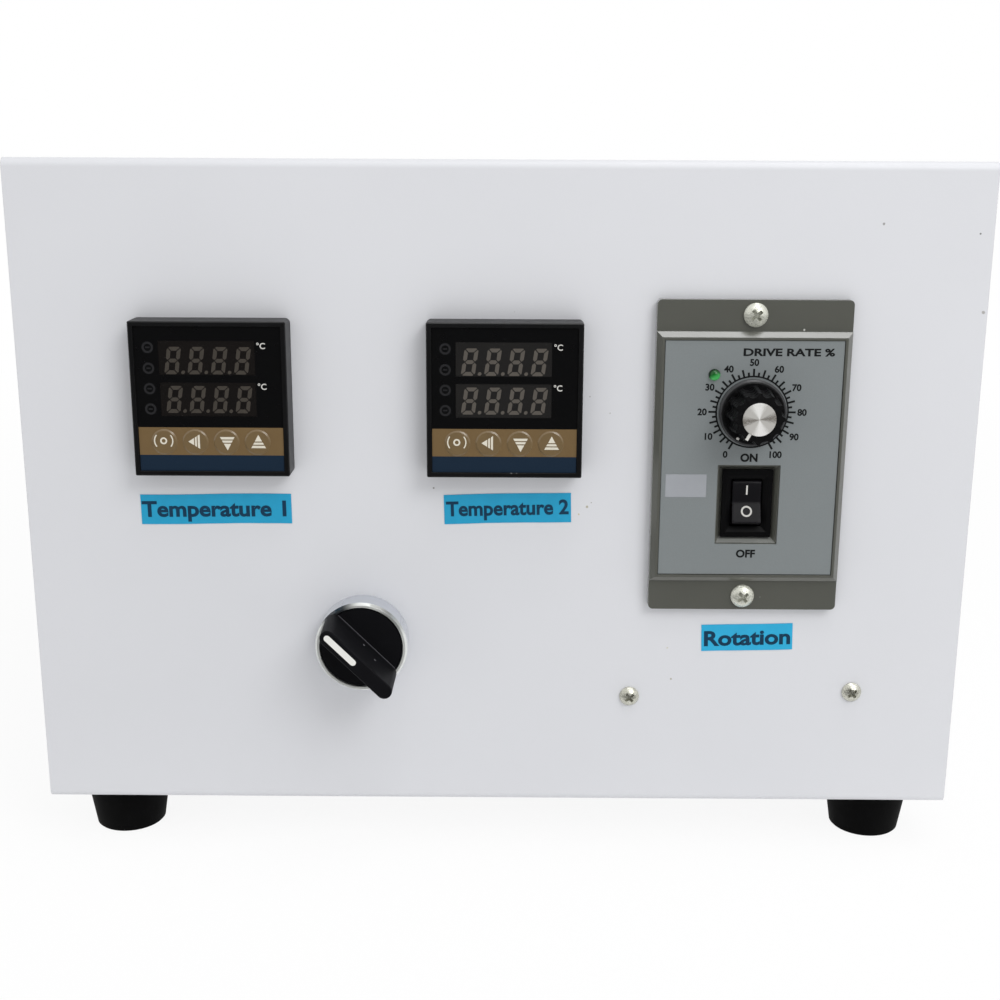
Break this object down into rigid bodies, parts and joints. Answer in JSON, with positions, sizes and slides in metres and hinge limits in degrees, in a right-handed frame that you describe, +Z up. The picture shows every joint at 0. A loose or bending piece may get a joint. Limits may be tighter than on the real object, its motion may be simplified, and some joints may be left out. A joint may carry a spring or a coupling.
{
  "type": "extruder control box",
  "caption": "White sheet-metal control box of a bench extruder with square temperature controllers, a speed dial with a rocker switch, a turn selector and rubber feet.",
  "frame": {"origin": "on the floor under the middle of the object's bounding box", "axes": "+X to the right seen from the front, +Y from the front panel to the rear cover, +Z up"},
  "size_m": [0.3, 0.264, 0.226],
  "materials": {
    "white_paint": "smooth white powder coat",
    "rubber": "matt black",
    "black_case": "fine matt black moulding",
    "controller_face": "glossy black with a brown and a blue band",
    "display": "dark smoked window with unlit digits",
    "keys": "brown membrane domes",
    "grey_moulding": "satin grey",
    "faceplate": "satin silver grey with black print",
    "zinc_steel": "zinc plated",
    "green_lamp": "clear green",
    "brass": "turned",
    "knob": "glossy black",
    "knob_cap": "spun",
    "rocker": "satin black",
    "chrome": "polished",
    "selector": "satin black",
    "mark": "white",
    "gland": "matt black"
  },
  "bodies": {
    "housing": {"folded_case": "white_paint", "left_side_plate": "white_paint", "right_side_plate": "white_paint", "rear_cover": "white_paint", "rear_cover_screws": "zinc_steel", "front_left_foot": "rubber", "front_right_foot": "rubber", "rear_left_foot": "rubber", "rear_right_foot": "rubber", "foot_screws": "zinc_steel", "left_controller_case": "black_case", "left_controller_face": "controller_face", "left_controller_display": "display", "left_controller_keys": "keys", "middle_controller_case": "black_case", "middle_controller_face": "controller_face", "middle_controller_display": "display", "middle_controller_keys": "keys", "speed_unit_body": "grey_moulding", "speed_unit_faceplate": "faceplate", "speed_unit_screws": "zinc_steel", "speed_lamp": "green_lamp", "speed_knob_bush": "brass", "rocker_frame": "rocker", "selector_collar": "chrome", "selector_barrel": "black_case", "selector_nut": "black_case", "panel_screws": "zinc_steel", "left_gland_body": "gland", "left_gland_cap": "gland", "right_gland_body": "gland", "right_gland_cap": "gland"},
    "selector": {"selector_lever": "selector", "selector_mark": "mark"},
    "speed_knob": {"speed_knob_shaft": "zinc_steel", "speed_knob_grip": "knob", "speed_knob_cap": "knob_cap"},
    "rocker": {"rocker_paddle": "rocker"}
  },
  "joints": [
    {"name": "selector_turn", "type": "hinge", "parent": "housing", "child": "selector", "pos_m": [-0.0436, -0.116, 0.0742], "axis": [0, 1, 0], "range_deg": [0, 90]},
    {"name": "speed_turn", "type": "hinge", "parent": "housing", "child": "speed_knob", "pos_m": [0.0784, -0.115, 0.15052], "axis": [0, 1, 0], "range_deg": [0, 300]},
    {"name": "rocker_tilt", "type": "hinge", "parent": "housing", "child": "rocker", "pos_m": [0.0784, -0.1076, 0.12091], "axis": [1, 0, 0], "range_deg": [0, 20]}
  ]
}
